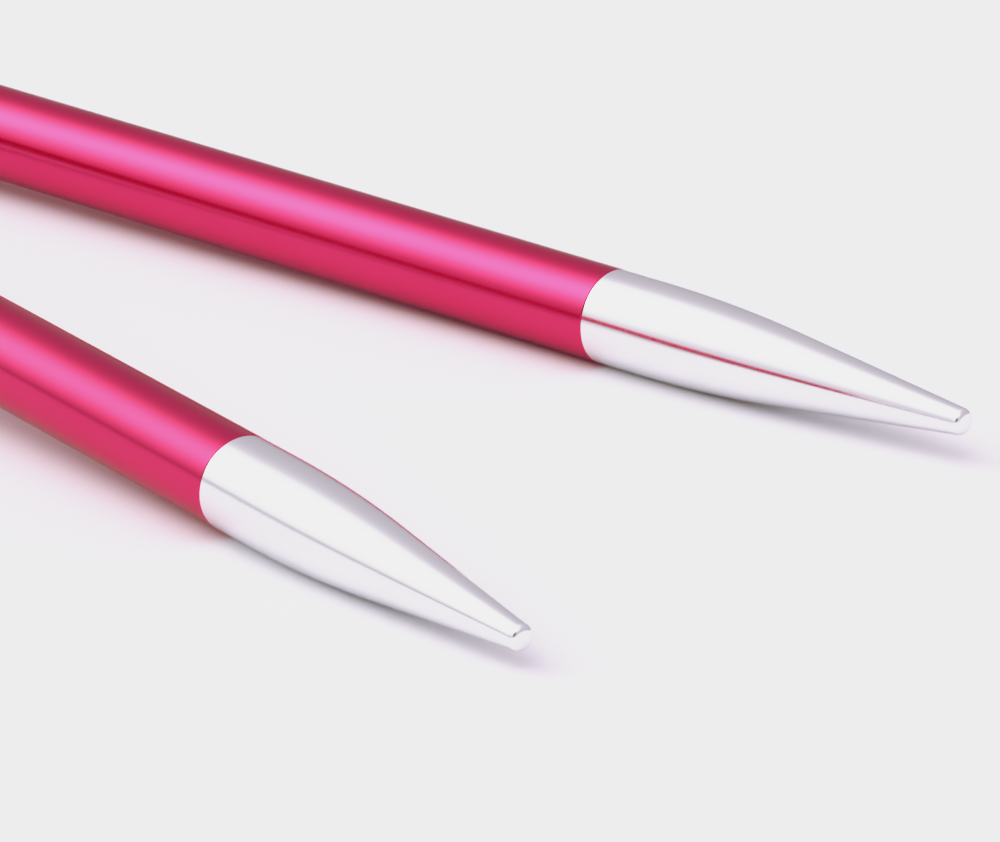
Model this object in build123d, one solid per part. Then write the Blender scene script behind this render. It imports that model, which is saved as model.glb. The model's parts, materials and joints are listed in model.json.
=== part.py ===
"""A pair of straight knitting needles, 5.0 mm gauge and 25 cm long, lying crossed on a flat surface.

Each needle is a coloured aluminium tube with a solid aluminium point pressed into its front end.
Its back end carries a bell-shaped knob: a moulded core inside a spun shell, a trim ring at the neck
and a disc in the end that carries the size.

Millimetres and degrees, +Z up. The points lie towards +X, and the surface is Z = 0. The left needle
lies on the surface. The right needle crosses over it, near the knobs, and its point comes down to
the surface again.

Every piece is drawn along the needle's own axis: x = 0 at the ring where the point meets the tube,
+x towards the tip. The pieces are then laid down together, needle by needle.
"""
from build123d import *
import os
from math import acos, atan, atan2, cos, degrees, hypot, radians, sin, sqrt, tan

# The needle
OVERALL = 250.0          # from the tip to the back of the knob
GAUGE = 5.0              # outer diameter of the shaft
TUBE_WALL = 0.5
EDGE_BREAK = 0.04        # the tiny chamfer on both edges at the joint ring

# The point: a short parallel land, an arc that leaves it smoothly, and a straight cone
POINT_LENGTH = 23.8
POINT_LAND = 2.75
TAPER_RADIUS = 84.5
CONE_HALF_ANGLE = 6.42
NOSE_EDGE = 0.36         # the rounding between the cone and the end of the nose
NOSE_CROWN = 14.0        # how far the end of the nose still slopes where that rounding stops

# The spigot that holds the point in the tube
SPIGOT_LENGTH = 14.0
SPIGOT_CHAMFER = 0.4
GROOVE_DEPTH = 0.15
GROOVE_WIDTH = 1.0
GROOVES_AT = (4.0, 9.0)  # front edges of the two glue grooves, behind the ring

# The knob, measured forwards from its back face
KNOB_LENGTH = 12.0
NECK_RADIUS = 3.6
NECK_STARTS = 10.0
RIM_RADIUS = 5.5
RIM_FRONT = 3.0
RIM_EDGE = 0.8           # the rounding at the back of the rim
SHELL_WALL = 0.5
BACK_OPENING = 4.2       # radius of the opening that the size disc closes
SOCKET_FLOOR = 2.0       # where the tube stops in the core

# The disc and the trim ring
DISC_CLEARANCE = 0.05
DISC_THICKNESS = 0.35
COLLAR_RADIUS = 3.75
COLLAR_WIDTH = 1.4
COLLAR_EDGE = 0.3

# How the pair lies
CROSSING_ANGLE = 11.91  # between the two needles, seen from above
LEFT_REACH = 148.2  # from the crossing forwards to the left needle's ring, seen from above
RIGHT_REACH = 156.1  # the same for the right needle
SHAFT_GAP = 0.05         # left between the two shafts where one lies over the other

SHAFT_RADIUS = GAUGE / 2
BORE_RADIUS = SHAFT_RADIUS - TUBE_WALL
BACK = POINT_LENGTH - OVERALL


def turned(*outline):
    """Turn a closed outline on the +Y side of the X axis into a solid about that axis."""
    return revolve(make_face(Curve() + list(outline)), Axis.X)


def heading(angle):
    """A direction in the drawing plane, turned by this angle from +x."""
    return (cos(radians(angle)), sin(radians(angle)))


def shaft_tube():
    """The coloured tube, from the joint ring back into the knob, with its front edge broken."""
    back = BACK + SOCKET_FLOOR
    return turned(Polyline(
        (0, BORE_RADIUS), (0, SHAFT_RADIUS - EDGE_BREAK), (-EDGE_BREAK, SHAFT_RADIUS),
        (back, SHAFT_RADIUS), (back, BORE_RADIUS), close=True,
    ))


def point():
    """The solid point, with the grooved spigot that is pressed and glued into the tube."""
    land_end = (POINT_LAND, SHAFT_RADIUS)
    taper = JernArc(land_end, (1, 0), TAPER_RADIUS, -CONE_HALF_ANGLE)
    # the nose: the rounding turns from the cone's slope to the crown's, and the crown is an arc
    # centred on the axis, so that it meets the axis squarely
    turn = 90 - CONE_HALF_ANGLE - NOSE_CROWN
    slope = tan(radians(CONE_HALF_ANGLE))
    rounding_rise = NOSE_EDGE * (cos(radians(CONE_HALF_ANGLE)) - sin(radians(NOSE_CROWN)))
    rounding_run = NOSE_EDGE * (cos(radians(NOSE_CROWN)) - sin(radians(CONE_HALF_ANGLE)))
    start = taper @ 1
    # crown radius times sin is the height where the rounding ends, and the nose must end at
    # POINT_LENGTH: both are linear in the cone's length, which is solved for here
    crown_run = (1 - cos(radians(NOSE_CROWN))) / sin(radians(NOSE_CROWN))
    run_left = POINT_LENGTH - start.X - rounding_run - crown_run * (start.Y - rounding_rise)
    cone_length = run_left / (1 - crown_run * slope)
    cone_end = (start.X + cone_length, start.Y - cone_length * slope)
    rounding = JernArc(cone_end, heading(-CONE_HALF_ANGLE), NOSE_EDGE, -turn)
    crown_start = rounding @ 1
    crown_radius = crown_start.Y / sin(radians(NOSE_CROWN))
    crown = JernArc(crown_start, heading(NOSE_CROWN - 90), crown_radius, -NOSE_CROWN)

    groove_floor = BORE_RADIUS - GROOVE_DEPTH
    spigot = [(0, BORE_RADIUS)]
    for front in GROOVES_AT:
        back = front + GROOVE_WIDTH
        spigot += [(-front, BORE_RADIUS), (-front, groove_floor), (-back, groove_floor), (-back, BORE_RADIUS)]
    spigot += [(SPIGOT_CHAMFER - SPIGOT_LENGTH, BORE_RADIUS), (-SPIGOT_LENGTH, BORE_RADIUS - SPIGOT_CHAMFER)]

    return turned(
        Polyline((-SPIGOT_LENGTH, 0), *reversed(spigot), (0, SHAFT_RADIUS - EDGE_BREAK),
                 (EDGE_BREAK, SHAFT_RADIUS), land_end),
        taper,
        Line(start, cone_end),
        rounding,
        crown,
        Line(crown @ 1, (-SPIGOT_LENGTH, 0)),
    )


def knob_flank(inset):
    """The bell's flank, from the neck back to the rim, as an arc that leaves the neck smoothly.

    An inset draws the line that lies this far inside it, on the same centre."""
    run = NECK_STARTS - RIM_FRONT
    rise = RIM_RADIUS - NECK_RADIUS
    radius = (run ** 2 + rise ** 2) / (2 * rise)
    centre_y = NECK_RADIUS + radius
    inner_radius = radius + inset
    rim = RIM_RADIUS - inset
    sweep = degrees(atan2(sqrt(inner_radius ** 2 - (centre_y - rim) ** 2), centre_y - rim))
    return JernArc((BACK + NECK_STARTS, NECK_RADIUS - inset), (-1, 0), inner_radius, -sweep)


def knob_shell():
    """The spun bell: neck, flared flank, rim, rounded back edge and an open back."""
    front = BACK + KNOB_LENGTH
    outer, inner = knob_flank(0), knob_flank(SHELL_WALL)
    rim_inner = RIM_RADIUS - SHELL_WALL
    back_corner = RIM_EDGE - SHELL_WALL
    outer_round = JernArc((BACK + RIM_EDGE, RIM_RADIUS), (-1, 0), RIM_EDGE, 90)
    inner_round = JernArc((BACK + RIM_EDGE, rim_inner), (-1, 0), back_corner, 90)
    return turned(
        Polyline((front, NECK_RADIUS - SHELL_WALL), (front, NECK_RADIUS), outer @ 0),
        outer,
        Line(outer @ 1, outer_round @ 0),
        outer_round,
        Polyline(outer_round @ 1, (BACK, BACK_OPENING), (BACK + SHELL_WALL, BACK_OPENING), inner_round @ 1),
        inner_round,
        Line(inner_round @ 0, inner @ 1),
        inner,
        Line(inner @ 0, (front, NECK_RADIUS - SHELL_WALL)),
    )


def knob_core():
    """The moulded core that fills the shell, with the blind socket for the tube."""
    front = BACK + KNOB_LENGTH
    flank = knob_flank(SHELL_WALL)
    rim = RIM_RADIUS - SHELL_WALL
    back_round = JernArc((BACK + RIM_EDGE, rim), (-1, 0), RIM_EDGE - SHELL_WALL, 90)
    floor = BACK + SOCKET_FLOOR
    return turned(
        Polyline((floor, 0), (floor, SHAFT_RADIUS), (front, SHAFT_RADIUS),
                 (front, NECK_RADIUS - SHELL_WALL), flank @ 0),
        flank,
        Line(flank @ 1, back_round @ 0),
        back_round,
        Polyline(back_round @ 1, (BACK + SHELL_WALL, 0), (floor, 0)),
    )


def knob_collar():
    """The trim ring that closes the front of the knob round the tube, with rounded outer edges."""
    back = BACK + KNOB_LENGTH
    front = back + COLLAR_WIDTH
    square = turned(Polyline(
        (back, SHAFT_RADIUS), (front, SHAFT_RADIUS), (front, COLLAR_RADIUS), (back, COLLAR_RADIUS), close=True,
    ))
    outer_edges = square.edges().filter_by(GeomType.CIRCLE).group_by(SortBy.RADIUS)[-1]
    return fillet(outer_edges, COLLAR_EDGE)


def size_disc():
    """The disc that carries the size, set just inside the back opening."""
    front = BACK + SHELL_WALL
    back = front - DISC_THICKNESS
    radius = BACK_OPENING - DISC_CLEARANCE
    return turned(Polyline((back, 0), (front, 0), (front, radius), (back, radius), close=True))


PIECES = (shaft_tube, point, knob_core, knob_shell, knob_collar, size_disc)


def left_slope():
    """How far the left needle's back end is raised by its rim, which lies on the surface.

    The needle touches the surface with the front edge of its rim and with the arc of its taper."""
    above = RIM_RADIUS + TAPER_RADIUS - SHAFT_RADIUS
    ahead = POINT_LAND - (BACK + RIM_FRONT)
    return degrees(acos(TAPER_RADIUS / hypot(above, ahead)) - atan2(ahead, above))


def pointing(yaw, slope):
    """The direction of a needle towards its tip: yaw about Z, then tip down by the slope."""
    return Vector(cos(radians(yaw)) * cos(radians(slope)), sin(radians(yaw)) * cos(radians(slope)),
                  -sin(radians(slope)))


def ring_centre(yaw, slope, reach):
    """Centre of the joint ring, so that the arc of the taper touches the surface."""
    arc_centre = (TAPER_RADIUS - SHAFT_RADIUS) * cos(radians(slope)) - POINT_LAND * sin(radians(slope))
    rise = TAPER_RADIUS - arc_centre
    return Vector(reach * cos(radians(yaw)), reach * sin(radians(yaw)), rise)


def right_slope():
    """The slope at which the right needle clears the left one by SHAFT_GAP where they cross."""
    yaw = CROSSING_ANGLE / 2
    low_slope = left_slope()
    low = ring_centre(yaw, low_slope, LEFT_REACH)
    low_way = pointing(yaw, low_slope)
    slope = low_slope
    for _ in range(20):
        high = ring_centre(-yaw, slope, RIGHT_REACH)
        across = low_way.cross(pointing(-yaw, slope)).normalized()
        missing = GAUGE + SHAFT_GAP - abs((high - low).dot(across))
        slope += degrees(atan(missing / (RIGHT_REACH * abs(across.Z))))
    return slope


def needle_place(yaw, slope, reach):
    """The location that lays a needle down, its own x axis towards the tip and z nearly up."""
    way = pointing(yaw, slope)
    level = Vector(-sin(radians(yaw)), cos(radians(yaw)), 0)
    return Location(Plane(ring_centre(yaw, slope, reach), x_dir=way, z_dir=way.cross(level)))


def main():
    half = CROSSING_ANGLE / 2
    places = {
        "left": needle_place(half, left_slope(), LEFT_REACH),
        "right": needle_place(-half, right_slope(), RIGHT_REACH),
    }
    nodes = {
        f"{side}_{piece.__name__}": place * piece()
        for side, place in places.items()
        for piece in PIECES
    }

    # the origin is the middle of the pair's box, on the surface
    boxes = [solid.bounding_box() for solid in nodes.values()]
    low = Vector(*(min(getattr(box.min, axis) for box in boxes) for axis in "XYZ"))
    high = Vector(*(max(getattr(box.max, axis) for box in boxes) for axis in "XYZ"))
    shift = Location((-(low.X + high.X) / 2, -(low.Y + high.Y) / 2, -low.Z))

    os.makedirs("parts", exist_ok=True)
    for name, solid in nodes.items():
        export_step(shift * solid, f"parts/{name}.step")

    print(f"left slope {left_slope():.4f}, right slope {right_slope():.4f} degrees")
    size = high - low
    print(f"box {size.X:.3f} x {size.Y:.3f} x {size.Z:.3f}, lowest point was {low.Z:.4f}")
    for side, place in places.items():
        laid = shift * place
        tip = laid * Pos(POINT_LENGTH, 0, 0)
        face = laid * Pos(BACK, 0, (RIM_RADIUS - RIM_EDGE + BACK_OPENING) / 2)
        way = (tip.position - laid.position).normalized()
        print(f"{side}: ring {tuple(laid.position)}, tip {tuple(tip.position)}, "
              f"back face {tuple(face.position)}, direction {tuple(way)}")


main()
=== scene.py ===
"""A pair of straight knitting needles: pink anodised shafts, polished points and bell-shaped knobs.

Every piece is turned about the needle's own axis, x = 0 at the ring where the point meets the shaft
and +x towards the tip, and is then laid down with its needle. Lengths are metres.
"""
import json
from math import acos, cos, pi, radians, sin, tan

import bpy
from mathutils import Matrix, Vector


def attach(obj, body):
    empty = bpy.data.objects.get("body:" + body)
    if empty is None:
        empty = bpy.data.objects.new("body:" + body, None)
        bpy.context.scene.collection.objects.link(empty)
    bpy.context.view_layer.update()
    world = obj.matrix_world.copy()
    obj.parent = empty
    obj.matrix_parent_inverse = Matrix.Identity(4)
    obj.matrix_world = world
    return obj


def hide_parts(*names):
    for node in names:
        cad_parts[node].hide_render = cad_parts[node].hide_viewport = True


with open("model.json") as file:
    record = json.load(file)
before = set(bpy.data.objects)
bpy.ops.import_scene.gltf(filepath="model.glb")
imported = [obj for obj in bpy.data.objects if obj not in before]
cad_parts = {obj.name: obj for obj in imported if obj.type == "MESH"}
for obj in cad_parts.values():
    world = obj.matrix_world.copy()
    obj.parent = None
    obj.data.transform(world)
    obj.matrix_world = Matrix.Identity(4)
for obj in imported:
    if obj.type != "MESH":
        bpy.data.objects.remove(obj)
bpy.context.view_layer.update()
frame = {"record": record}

MM = 0.001
SIDES = ("left", "right")
MOUNTS = {mount["name"]: mount for mount in frame["record"]["mounts"]}

# The needle
SHAFT_RADIUS = 2.5 * MM
BORE_RADIUS = 2.0 * MM
EDGE_BREAK = 0.04 * MM

# The point
POINT_LAND = 2.75 * MM
TAPER_RADIUS = 84.5 * MM
CONE_ANGLE = radians(6.42)
NOSE_EDGE = 0.36 * MM
NOSE_CROWN = radians(14)
SPIGOT_LENGTH = 14.0 * MM
SPIGOT_CHAMFER = 0.4 * MM
GROOVE_DEPTH = 0.15 * MM
GROOVE_WIDTH = 1.0 * MM
GROOVES_AT = (4.0 * MM, 9.0 * MM)

# The knob, measured forwards from its back face
KNOB_LENGTH = 12.0 * MM
NECK_RADIUS = 3.6 * MM
NECK_STARTS = 10.0 * MM
RIM_RADIUS = 5.5 * MM
RIM_FRONT = 3.0 * MM
RIM_EDGE = 0.8 * MM
SHELL_WALL = 0.5 * MM
BACK_OPENING = 4.2 * MM
SOCKET_FLOOR = 2.0 * MM
DISC_RADIUS = 4.15 * MM
DISC_THICKNESS = 0.35 * MM
DISC_EDGE = 0.08 * MM
COLLAR_RADIUS = 3.75 * MM
COLLAR_WIDTH = 1.4 * MM
COLLAR_EDGE = 0.3 * MM
NUMBER_HEIGHT = 3.4 * MM
NUMBER_RAISED = 0.03 * MM

# How finely the pieces are turned
TURN_SIDES = 128
TUBE_BANDS = 48
EDGE_STEPS = 8
NOSE_STEPS = 12
CROWN_STEPS = 4
TAPER_STEPS = 16
FLANK_STEPS = 14
NUMBER_STEPS = 8
SMOOTH_BELOW = radians(30)
DOUBLES_WITHIN = 1e-6

# The camera: a long lens that looks down across the two points. Its lens and sensor are millimetres
CAMERA_AZIMUTH = radians(48.55)
CAMERA_ELEVATION = radians(18.77)
CAMERA_DISTANCE = 0.5001
CAMERA_LENS = 360.5
CAMERA_SENSOR = 36
CAMERA_SEES = (0.02, 50)
AIM_BESIDE_RINGS = Vector((4.67, 0.45, 0)) * MM
FLOOR_SIZE = 12
FLOOR_COLOUR = (0.885, 0.872, 0.888)


class Needle:
    """Where one needle lies: its ring, its direction and how far it reaches each way."""

    def __init__(self, side):
        ring = Vector(MOUNTS[f"{side}_shaft"]["pos_m"])
        tip = Vector(MOUNTS[f"{side}_point"]["pos_m"])
        way = (tip - ring).normalized()
        level = Vector((0, 0, 1)).cross(way).normalized()
        turn = Matrix((way, level, way.cross(level))).transposed().to_4x4()
        self.side = side
        self.ring = ring
        self.place = Matrix.Translation(ring) @ turn
        self.point_length = (tip - ring).length
        self.back = (self.place.inverted() @ Vector(MOUNTS[f"{side}_knob_end"]["pos_m"])).x


# ---------------------------------------------------------------- outlines

def arc(centre, radius, start, end, steps):
    """Stations along an arc in the outline's plane, from one angle to the other."""
    angles = [start + (end - start) * i / steps for i in range(steps + 1)]
    return [(centre[0] + radius * cos(a), centre[1] + radius * sin(a)) for a in angles]


def tube_outline(needle):
    """A closed outline: the bore, the broken front edge and the long outside, in short bands."""
    front, back = -EDGE_BREAK, needle.back + SOCKET_FLOOR
    band = (back - front) / TUBE_BANDS
    outside = [(front + band * i, SHAFT_RADIUS) for i in range(TUBE_BANDS + 1)]
    return [(0, BORE_RADIUS), (0, SHAFT_RADIUS - EDGE_BREAK)] + outside + [(back, BORE_RADIUS)]


def nose_outline(start, length):
    """From the cone's start: its end, the rounding, and the shallow crown that ends on the axis."""
    slope = tan(CONE_ANGLE)
    rise = NOSE_EDGE * (cos(CONE_ANGLE) - sin(NOSE_CROWN))
    run = NOSE_EDGE * (cos(NOSE_CROWN) - sin(CONE_ANGLE))
    crown_run = (1 - cos(NOSE_CROWN)) / sin(NOSE_CROWN)
    cone = (length - start[0] - run - crown_run * (start[1] - rise)) / (1 - crown_run * slope)
    centre = (start[0] + cone - NOSE_EDGE * sin(CONE_ANGLE),
              start[1] - cone * slope - NOSE_EDGE * cos(CONE_ANGLE))
    rounding = arc(centre, NOSE_EDGE, pi / 2 - CONE_ANGLE, NOSE_CROWN, NOSE_STEPS)
    crown_radius = rounding[-1][1] / sin(NOSE_CROWN)
    crown_centre = (rounding[-1][0] - crown_radius * cos(NOSE_CROWN), 0)
    crown = arc(crown_centre, crown_radius, NOSE_CROWN, 0, CROWN_STEPS)
    return rounding + crown[1:-1] + [(length, 0)]


def point_outline(needle):
    """From the spigot's end to the tip, open at both ends on the axis."""
    floor = BORE_RADIUS - GROOVE_DEPTH
    outline = [(-SPIGOT_LENGTH, 0), (-SPIGOT_LENGTH, BORE_RADIUS - SPIGOT_CHAMFER),
               (SPIGOT_CHAMFER - SPIGOT_LENGTH, BORE_RADIUS)]
    for front in reversed(GROOVES_AT):
        back = front + GROOVE_WIDTH
        outline += [(-back, BORE_RADIUS), (-back, floor), (-front, floor), (-front, BORE_RADIUS)]
    outline += [(0, BORE_RADIUS), (0, SHAFT_RADIUS - EDGE_BREAK), (EDGE_BREAK, SHAFT_RADIUS)]
    centre = (POINT_LAND, SHAFT_RADIUS - TAPER_RADIUS)
    taper = arc(centre, TAPER_RADIUS, pi / 2, pi / 2 - CONE_ANGLE, TAPER_STEPS)
    return outline + taper + nose_outline(taper[-1], needle.point_length)


def flank_outline(needle, inset):
    """The bell's flank from the neck back to the rim, this far inside its outer face."""
    run, rise = NECK_STARTS - RIM_FRONT, RIM_RADIUS - NECK_RADIUS
    radius = (run ** 2 + rise ** 2) / (2 * rise)
    centre = (needle.back + NECK_STARTS, NECK_RADIUS + radius)
    sweep = acos((centre[1] - RIM_RADIUS + inset) / (radius + inset))
    return arc(centre, radius + inset, -pi / 2, -pi / 2 - sweep, FLANK_STEPS)


def back_rounding(needle, inset):
    """The rounding at the back of the rim, this far inside its outer face."""
    centre = (needle.back + RIM_EDGE, RIM_RADIUS - RIM_EDGE)
    return arc(centre, RIM_EDGE - inset, pi / 2, pi, EDGE_STEPS)


def shell_outline(needle):
    """Round the bell's outer face, over the lip at its back, and forwards along its inside."""
    front = needle.back + KNOB_LENGTH
    outer = [(front, NECK_RADIUS)] + flank_outline(needle, 0) + back_rounding(needle, 0)
    inner = [(front, NECK_RADIUS - SHELL_WALL)] + flank_outline(needle, SHELL_WALL)
    inner += back_rounding(needle, SHELL_WALL)
    lip = [(needle.back, BACK_OPENING), (needle.back + SHELL_WALL, BACK_OPENING)]
    return outer + lip + inner[::-1]


def core_outline(needle):
    """From the socket's floor, round the outside, to the middle of the back."""
    floor, front = needle.back + SOCKET_FLOOR, needle.back + KNOB_LENGTH
    socket = [(floor, 0), (floor, SHAFT_RADIUS), (front, SHAFT_RADIUS),
              (front, NECK_RADIUS - SHELL_WALL)]
    outside = flank_outline(needle, SHELL_WALL) + back_rounding(needle, SHELL_WALL)
    return socket + outside + [(needle.back + SHELL_WALL, 0)]


def collar_outline(needle):
    """The trim ring in front of the knob, rounded at both edges and closed on the shaft."""
    back = needle.back + KNOB_LENGTH
    front = back + COLLAR_WIDTH
    high = COLLAR_RADIUS - COLLAR_EDGE
    front_edge = arc((front - COLLAR_EDGE, high), COLLAR_EDGE, 0, pi / 2, EDGE_STEPS)
    back_edge = arc((back + COLLAR_EDGE, high), COLLAR_EDGE, pi / 2, pi, EDGE_STEPS)
    return [(front, SHAFT_RADIUS)] + front_edge + back_edge + [(back, SHAFT_RADIUS)]


def disc_outline(needle):
    """The disc that closes the knob's back, with its outer edge broken."""
    front = needle.back + SHELL_WALL
    back = front - DISC_THICKNESS
    return [(front, 0), (front, DISC_RADIUS), (back + DISC_EDGE, DISC_RADIUS),
            (back, DISC_RADIUS - DISC_EDGE), (back, 0)]


# ---------------------------------------------------------------- modelling

def turn(name, outline):
    """Extrude a circle from station to station. It closes on the axis, or round on itself."""
    first, *rest = [station for station in outline if station[1] > 0]
    starts_on_axis, ends_on_axis = outline[0][1] == 0, outline[-1][1] == 0
    bpy.ops.object.select_all(action="DESELECT")
    bpy.ops.mesh.primitive_circle_add(
        vertices=TURN_SIDES, radius=first[1], location=(first[0], 0, 0), rotation=(0, pi / 2, 0),
        fill_type="TRIFAN" if starts_on_axis else "NOTHING",
    )
    piece = bpy.context.object
    piece.name = piece.data.name = name
    bpy.ops.object.transform_apply(location=True, rotation=True, scale=True)
    bpy.ops.object.mode_set(mode="EDIT")
    bpy.ops.mesh.select_mode(type="EDGE")
    bpy.ops.mesh.select_all(action="DESELECT")
    bpy.ops.mesh.select_non_manifold()
    here = first
    for there in rest:
        extrude_to(here, there)
        here = there
    if ends_on_axis:
        extrude_to(here, (outline[-1][0], here[1]))
        bpy.ops.mesh.merge(type="CENTER")
    elif not starts_on_axis:
        bpy.ops.mesh.select_all(action="DESELECT")
        bpy.ops.mesh.select_non_manifold()
        bpy.ops.mesh.bridge_edge_loops()
    bpy.ops.mesh.select_all(action="SELECT")
    bpy.ops.mesh.normals_make_consistent(inside=False)
    bpy.ops.object.mode_set(mode="OBJECT")
    return piece


def extrude_to(here, there):
    """Carry the selected loop on to the next station."""
    bpy.ops.mesh.extrude_region_move(TRANSFORM_OT_translate={"value": (there[0] - here[0], 0, 0)})
    scale = there[1] / here[1]
    bpy.ops.transform.resize(value=(1, scale, scale), center_override=(there[0], 0, 0))


def number(name, needle):
    """The size, raised on the back of the disc."""
    bpy.ops.object.select_all(action="DESELECT")
    bpy.ops.object.text_add()
    piece = bpy.context.object
    piece.data.body = "5.0"
    piece.data.align_x = "CENTER"
    piece.data.align_y = "CENTER"
    piece.data.size = NUMBER_HEIGHT
    piece.data.extrude = NUMBER_RAISED
    piece.data.resolution_u = NUMBER_STEPS
    bpy.ops.object.convert(target="MESH")
    piece = bpy.context.object
    piece.name = piece.data.name = name
    back = needle.back + SHELL_WALL - DISC_THICKNESS
    facing_back = Matrix(((0, 0, -1), (-1, 0, 0), (0, 1, 0))).to_4x4()
    piece.matrix_world = Matrix.Translation((back, 0, 0)) @ facing_back
    bpy.ops.object.transform_apply(location=True, rotation=True, scale=True)
    bpy.ops.object.mode_set(mode="EDIT")
    bpy.ops.mesh.select_all(action="SELECT")
    bpy.ops.mesh.remove_doubles(threshold=DOUBLES_WITHIN)
    bpy.ops.mesh.normals_make_consistent(inside=False)
    bpy.ops.object.mode_set(mode="OBJECT")
    return piece


def lay_down(piece, needle, material):
    """Keep each point's place in the needle for the finish, then lay the piece with its needle."""
    place = piece.data.attributes.new("needle_place", "FLOAT_VECTOR", "POINT")
    for entry, vertex in zip(place.data, piece.data.vertices):
        entry.vector = vertex.co
    bpy.ops.object.select_all(action="DESELECT")
    piece.select_set(True)
    bpy.context.view_layer.objects.active = piece
    bpy.ops.object.shade_smooth_by_angle(angle=SMOOTH_BELOW)
    piece.matrix_world = needle.place
    bpy.ops.object.transform_apply(location=True, rotation=True, scale=True)
    piece.data.materials.append(material)
    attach(piece, f"{needle.side}_needle")


# ---------------------------------------------------------------- finishes

def new_material(name, colour, metallic, roughness):
    """A new material, with its nodes, its links and its shader."""
    material = bpy.data.materials.new(name)
    material.use_nodes = True
    nodes, links = material.node_tree.nodes, material.node_tree.links
    shader = nodes["Principled BSDF"]
    shader.inputs["Base Color"].default_value = (*colour, 1)
    shader.inputs["Metallic"].default_value = metallic
    shader.inputs["Roughness"].default_value = roughness
    return material, nodes, links, shader


def grain(nodes, links, stretch, detail):
    """Noise over the needle, with this many cells a metre along it and across it."""
    place = nodes.new("ShaderNodeAttribute")
    place.attribute_name = "needle_place"
    scale = nodes.new("ShaderNodeMapping")
    scale.inputs["Scale"].default_value = stretch
    noise = nodes.new("ShaderNodeTexNoise")
    noise.inputs["Scale"].default_value = 1.0
    noise.inputs["Detail"].default_value = detail
    links.new(place.outputs["Vector"], scale.inputs["Vector"])
    links.new(scale.outputs["Vector"], noise.inputs["Vector"])
    return noise.outputs["Fac"]


def spread(nodes, links, value, low, high):
    """Map the middle of the noise to a range."""
    span = nodes.new("ShaderNodeMapRange")
    for socket, end in zip(("From Min", "From Max"), NOISE_MIDDLE):
        span.inputs[socket].default_value = end
    span.inputs["To Min"].default_value = low
    span.inputs["To Max"].default_value = high
    links.new(value, span.inputs["Value"])
    return span.outputs["Result"]


def tint(nodes, links, value, first, second):
    """A colour between the two, set by the value."""
    mix = nodes.new("ShaderNodeMix")
    mix.data_type = "RGBA"
    mix.inputs["A"].default_value = (*first, 1)
    mix.inputs["B"].default_value = (*second, 1)
    links.new(value, mix.inputs["Factor"])
    return mix.outputs["Result"]


def relief(nodes, links, shader, value, depth):
    """Raise the surface where the value is high, by this depth."""
    bump = nodes.new("ShaderNodeBump")
    bump.inputs["Strength"].default_value = 1.0
    bump.inputs["Distance"].default_value = depth
    links.new(value, bump.inputs["Height"])
    links.new(bump.outputs["Normal"], shader.inputs["Normal"])


# Grain, in cells a metre along the needle and across it, and how detailed it is
ALONG = (45, 9000, 9000)
ROUND = (16000, 500, 500)
CLOUDS = (120, 260, 260)
NYLON_CLOUDS = (700, 700, 700)
NYLON_TEXTURE = (9000, 9000, 9000)
LINE_DETAIL = 3
CLOUD_DETAIL = 2
NOISE_MIDDLE = (0.3, 0.7)

# The dye: its colour, how far that wanders, and how much light comes back through it on a slant
PINK = (0.68, 0.047, 0.156)
PINK_WANDERS = ((0.67, 0.045, 0.152), (0.69, 0.049, 0.160))
DYED_EDGE = (0.66, 0.62, 0.62)
SKIN_WEIGHT = 0.16
SKIN_ROUGHNESS = 0.08
SKIN_IOR = 1.5

# The bare metal
POLISHED = (0.93, 0.93, 0.94)
SPUN = (0.90, 0.90, 0.91)
BARE_EDGE = (0.80, 0.80, 0.82)
BARE_CLOUD = 0.97

# The moulded core
NYLON = (0.72, 0.71, 0.67)
NYLON_WANDERS = ((0.70, 0.69, 0.65), (0.75, 0.74, 0.70))
NYLON_ROUGHNESS = 0.5
NYLON_DEPTH = 4e-6


def clouded(nodes, links, shader, stretch, first, second):
    """Let the base colour wander slowly between two colours."""
    clouds = spread(nodes, links, grain(nodes, links, stretch, CLOUD_DETAIL), 0, 1)
    links.new(tint(nodes, links, clouds, first, second), shader.inputs["Base Color"])


def fine_lines(nodes, links, shader, lines, roughness, vary, depth):
    """Fine lines that vary the roughness by this share and stand this deep."""
    fine = grain(nodes, links, lines, LINE_DETAIL)
    rough = spread(nodes, links, fine, roughness * (1 - vary), roughness * (1 + vary))
    links.new(rough, shader.inputs["Roughness"])
    relief(nodes, links, shader, fine, depth)


def anodised(name, lines, roughness, depth):
    """Dyed pink oxide on bright aluminium: a mirror under a clear skin, with fine lines."""
    material, nodes, links, shader = new_material(name, PINK, 1.0, roughness)
    clouded(nodes, links, shader, CLOUDS, *PINK_WANDERS)
    fine_lines(nodes, links, shader, lines, roughness, vary=0.15, depth=depth)
    shader.inputs["Specular Tint"].default_value = (*DYED_EDGE, 1)
    shader.inputs["Coat Weight"].default_value = SKIN_WEIGHT
    shader.inputs["Coat Roughness"].default_value = SKIN_ROUGHNESS
    shader.inputs["Coat IOR"].default_value = SKIN_IOR
    return material


def bare_aluminium(name, colour, lines, roughness, depth):
    """Bare metal with the fine lines that its making left."""
    material, nodes, links, shader = new_material(name, colour, 1.0, roughness)
    shader.inputs["Specular Tint"].default_value = (*BARE_EDGE, 1)
    darker = tuple(c * BARE_CLOUD for c in colour)
    clouded(nodes, links, shader, CLOUDS, darker, colour)
    fine_lines(nodes, links, shader, lines, roughness, vary=0.2, depth=depth)
    return material


def nylon(name):
    """Natural moulded nylon, slightly clouded, with a fine moulded texture."""
    material, nodes, links, shader = new_material(name, NYLON, 0.0, NYLON_ROUGHNESS)
    clouded(nodes, links, shader, NYLON_CLOUDS, *NYLON_WANDERS)
    texture = grain(nodes, links, NYLON_TEXTURE, CLOUD_DETAIL)
    relief(nodes, links, shader, texture, NYLON_DEPTH)
    return material


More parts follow.
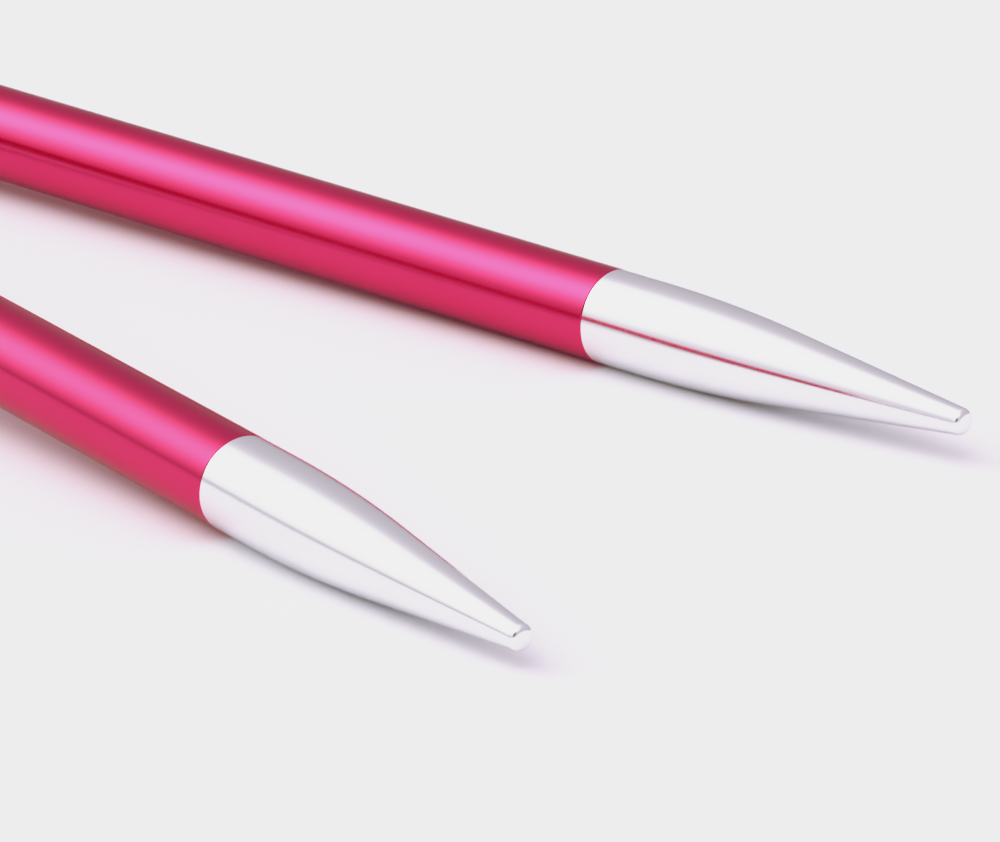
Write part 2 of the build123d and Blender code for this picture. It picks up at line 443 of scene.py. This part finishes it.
# ---------------------------------------------------------------- the studio

def studio_floor():
    """The plain pale surface that the needles lie on."""
    bpy.ops.object.select_all(action="DESELECT")
    bpy.ops.mesh.primitive_plane_add(size=FLOOR_SIZE, location=(0, 0, 0))
    floor = bpy.context.object
    floor.name = floor.data.name = "floor"
    material, nodes, links, shader = new_material("floor_white", FLOOR_COLOUR, 0.0, 0.9)
    shader.inputs["Specular IOR Level"].default_value = 0.0
    floor.data.materials.append(material)


def camera_axes():
    """The camera's right, away-from-camera and up directions; the first two are level."""
    right = Vector((cos(CAMERA_AZIMUTH), sin(CAMERA_AZIMUTH), 0))
    away = Vector((-sin(CAMERA_AZIMUTH), cos(CAMERA_AZIMUTH), 0))
    return right, away, Vector((0, 0, 1))


def from_camera(right, away, up):
    """A direction given as the camera sees it, turned into the frame."""
    axes = camera_axes()
    return (axes[0] * right + axes[1] * away + axes[2] * up).normalized()


def studio_camera(needles):
    """The camera, aimed beside the middle of the two rings."""
    right, away, up = camera_axes()
    back = -away * cos(CAMERA_ELEVATION) + up * sin(CAMERA_ELEVATION)
    rings = (needles[0].ring + needles[1].ring) / 2
    aim = Vector((rings.x, rings.y, SHAFT_RADIUS)) + AIM_BESIDE_RINGS
    bpy.ops.object.camera_add(location=aim + back * CAMERA_DISTANCE)
    camera = bpy.context.object
    camera.name = "camera"
    camera.rotation_euler = (-back).to_track_quat("-Z", "Y").to_euler()
    camera.data.lens = CAMERA_LENS
    camera.data.sensor_width = CAMERA_SENSOR
    camera.data.clip_start, camera.data.clip_end = CAMERA_SEES
    bpy.context.scene.camera = camera


def lobe(nodes, links, direction, width, strength):
    """A soft round patch of brightness about a direction: strength * exp(-(angle / width) ** 2)."""
    coordinates = nodes.new("ShaderNodeTexCoord")
    dot = nodes.new("ShaderNodeVectorMath")
    dot.operation = "DOT_PRODUCT"
    dot.inputs[1].default_value = direction
    links.new(coordinates.outputs["Generated"], dot.inputs[0])
    fall = 2 / width ** 2
    power = combine(nodes, links, "MULTIPLY_ADD", dot.outputs["Value"], fall, -fall)
    peak = combine(nodes, links, "EXPONENT", power)
    return combine(nodes, links, "MULTIPLY", peak, strength)


def combine(nodes, links, operation, *values):
    """A math node fed by numbers or sockets."""
    math = nodes.new("ShaderNodeMath")
    math.operation = operation
    for socket, value in zip(math.inputs, values):
        if isinstance(value, (int, float)):
            socket.default_value = value
        else:
            links.new(value, socket)
    return math.outputs[0]


def horizon_gap(nodes, links):
    """How much light is left at each height: there is a thin dark gap just over the floor."""
    coordinates = nodes.new("ShaderNodeTexCoord")
    split = nodes.new("ShaderNodeSeparateXYZ")
    links.new(coordinates.outputs["Generated"], split.inputs[0])
    away = combine(nodes, links, "SUBTRACT", split.outputs["Z"], HORIZON_HEIGHT)
    away = combine(nodes, links, "DIVIDE", away, HORIZON_WIDTH)
    away = combine(nodes, links, "MULTIPLY", away, away)
    gap = combine(nodes, links, "EXPONENT", combine(nodes, links, "MULTIPLY", away, -1.0))
    return combine(nodes, links, "MULTIPLY_ADD", gap, -HORIZON_DEPTH, 1.0)


def camera_gap(nodes, links):
    """How much of the light is left round the camera, which stands in its own way."""
    gap = lobe(nodes, links, from_camera(*CAMERA_GAP), CAMERA_GAP_WIDTH, -CAMERA_GAP_DEPTH)
    return combine(nodes, links, "ADD", gap, 1.0)


def studio_light():
    """A large soft light up on the left, a weaker one in front, and a pale room."""
    world = bpy.data.worlds.new("studio")
    bpy.context.scene.world = world
    world.use_nodes = True
    nodes, links = world.node_tree.nodes, world.node_tree.links
    nodes.clear()
    dark = combine(nodes, links, "MULTIPLY", horizon_gap(nodes, links), camera_gap(nodes, links))
    glow = nodes.new("ShaderNodeAddShader")
    for socket, (colour, base, patches) in zip(glow.inputs, LIGHTS):
        total = base
        for direction, width, strength in patches:
            patch = lobe(nodes, links, from_camera(*direction), radians(width), strength)
            total = combine(nodes, links, "ADD", patch, total)
        light = nodes.new("ShaderNodeBackground")
        light.inputs["Color"].default_value = (*colour, 1)
        links.new(combine(nodes, links, "MULTIPLY", total, dark), light.inputs["Strength"])
        links.new(light.outputs[0], socket)
    plain = nodes.new("ShaderNodeBackground")
    plain.inputs["Color"].default_value = (*BACKDROP_COLOUR, 1)
    seen = nodes.new("ShaderNodeLightPath")
    mix = nodes.new("ShaderNodeMixShader")
    output = nodes.new("ShaderNodeOutputWorld")
    links.new(seen.outputs["Is Camera Ray"], mix.inputs[0])
    links.new(glow.outputs[0], mix.inputs[1])
    links.new(plain.outputs[0], mix.inputs[2])
    links.new(mix.outputs[0], output.inputs["Surface"])


# Colour and even brightness of the key light and of the room, and their soft patches: the direction
# as the camera sees it (right, away, up), the width in degrees and the strength
LIGHTS = (
    ((0.96, 1.08, 0.99), 0.0, (((-0.72, 0.20, 0.66), 23, 2.9),)),
    ((1.02, 0.94, 1.06), 0.56, (((-0.15, -0.72, 0.68), 32, 1.8), ((0.0, 0.1, 1.0), 26, 0.4))),
)
CAMERA_GAP = (0.0, -cos(CAMERA_ELEVATION), sin(CAMERA_ELEVATION))
CAMERA_GAP_WIDTH = radians(25)
CAMERA_GAP_DEPTH = 0.97
HORIZON_HEIGHT = 0.065
HORIZON_WIDTH = 0.028
HORIZON_DEPTH = 0.38
BACKDROP_COLOUR = (0.84, 0.84, 0.855)

# How the camera answers: (light, response), for all three colours and then for green and blue alone
SHOULDER = ((0.0, 0.0), (0.70, 0.70), (0.86, 0.82), (1.1, 0.858), (1.6, 0.868), (4.0, 0.87))
GREEN_TOE = ((0.0, 0.0), (0.04, 0.024), (0.10, 0.085), (0.22, 0.22), (0.87, 0.853), (4.0, 4.0))
BLUE_TOE = ((0.0, 0.0), (0.06, 0.045), (0.15, 0.115), (0.30, 0.29), (0.5, 0.5), (4.0, 4.0))


def camera_response():
    """Answer light as a camera does: flatter highlights, and deeper weak green and blue."""
    view = bpy.context.scene.view_settings
    view.view_transform = "Standard"
    view.use_curve_mapping = True
    mapping = view.curve_mapping
    mapping.use_clip = True
    mapping.clip_max_x = mapping.clip_max_y = SHOULDER[-1][0]
    green, blue, combined = mapping.curves[1:]
    for curve, response in ((green, GREEN_TOE), (blue, BLUE_TOE), (combined, SHOULDER)):
        curve.points[1].location = response[-1]
        for light, answer in response[1:-1]:
            curve.points.new(light, answer)
    mapping.update()


def main():
    """Set up the studio, then make every piece of both needles and lay it down."""
    needles = [Needle(side) for side in SIDES]
    studio_camera(needles)
    studio_floor()
    studio_light()

    pink_shaft = anodised("anodised_pink", ALONG, roughness=0.21, depth=1.5e-7)
    pink_ring = anodised("anodised_pink_ring", ROUND, roughness=0.18, depth=1.5e-7)
    pink_disc = anodised("anodised_pink_disc", ROUND, roughness=0.30, depth=3e-7)
    polished = bare_aluminium("polished_aluminium", POLISHED, ROUND, roughness=0.14, depth=5e-8)
    spun = bare_aluminium("spun_aluminium", SPUN, ROUND, roughness=0.24, depth=4e-7)
    moulded = nylon("core_nylon")

    # piece, outline, finish and the record's slot
    pieces = (
        ("shaft_tube", tube_outline, pink_shaft, "anodised_pink"),
        ("point", point_outline, polished, "polished_aluminium"),
        ("knob_core", core_outline, moulded, "core_nylon"),
        ("knob_shell", shell_outline, spun, "spun_aluminium"),
        ("knob_collar", collar_outline, pink_ring, "anodised_pink_ring"),
        ("size_disc", disc_outline, pink_disc, "anodised_pink_disc"),
    )
    for needle in needles:
        for name, outline, material, slot in pieces:
            node = f"{needle.side}_{name}"
            piece = turn(f"{node}_fine", outline(needle))
            lay_down(piece, needle, material)
            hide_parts(node)
        size = number(f"{needle.side}_size_number", needle)
        lay_down(size, needle, spun)

    camera_response()


main()
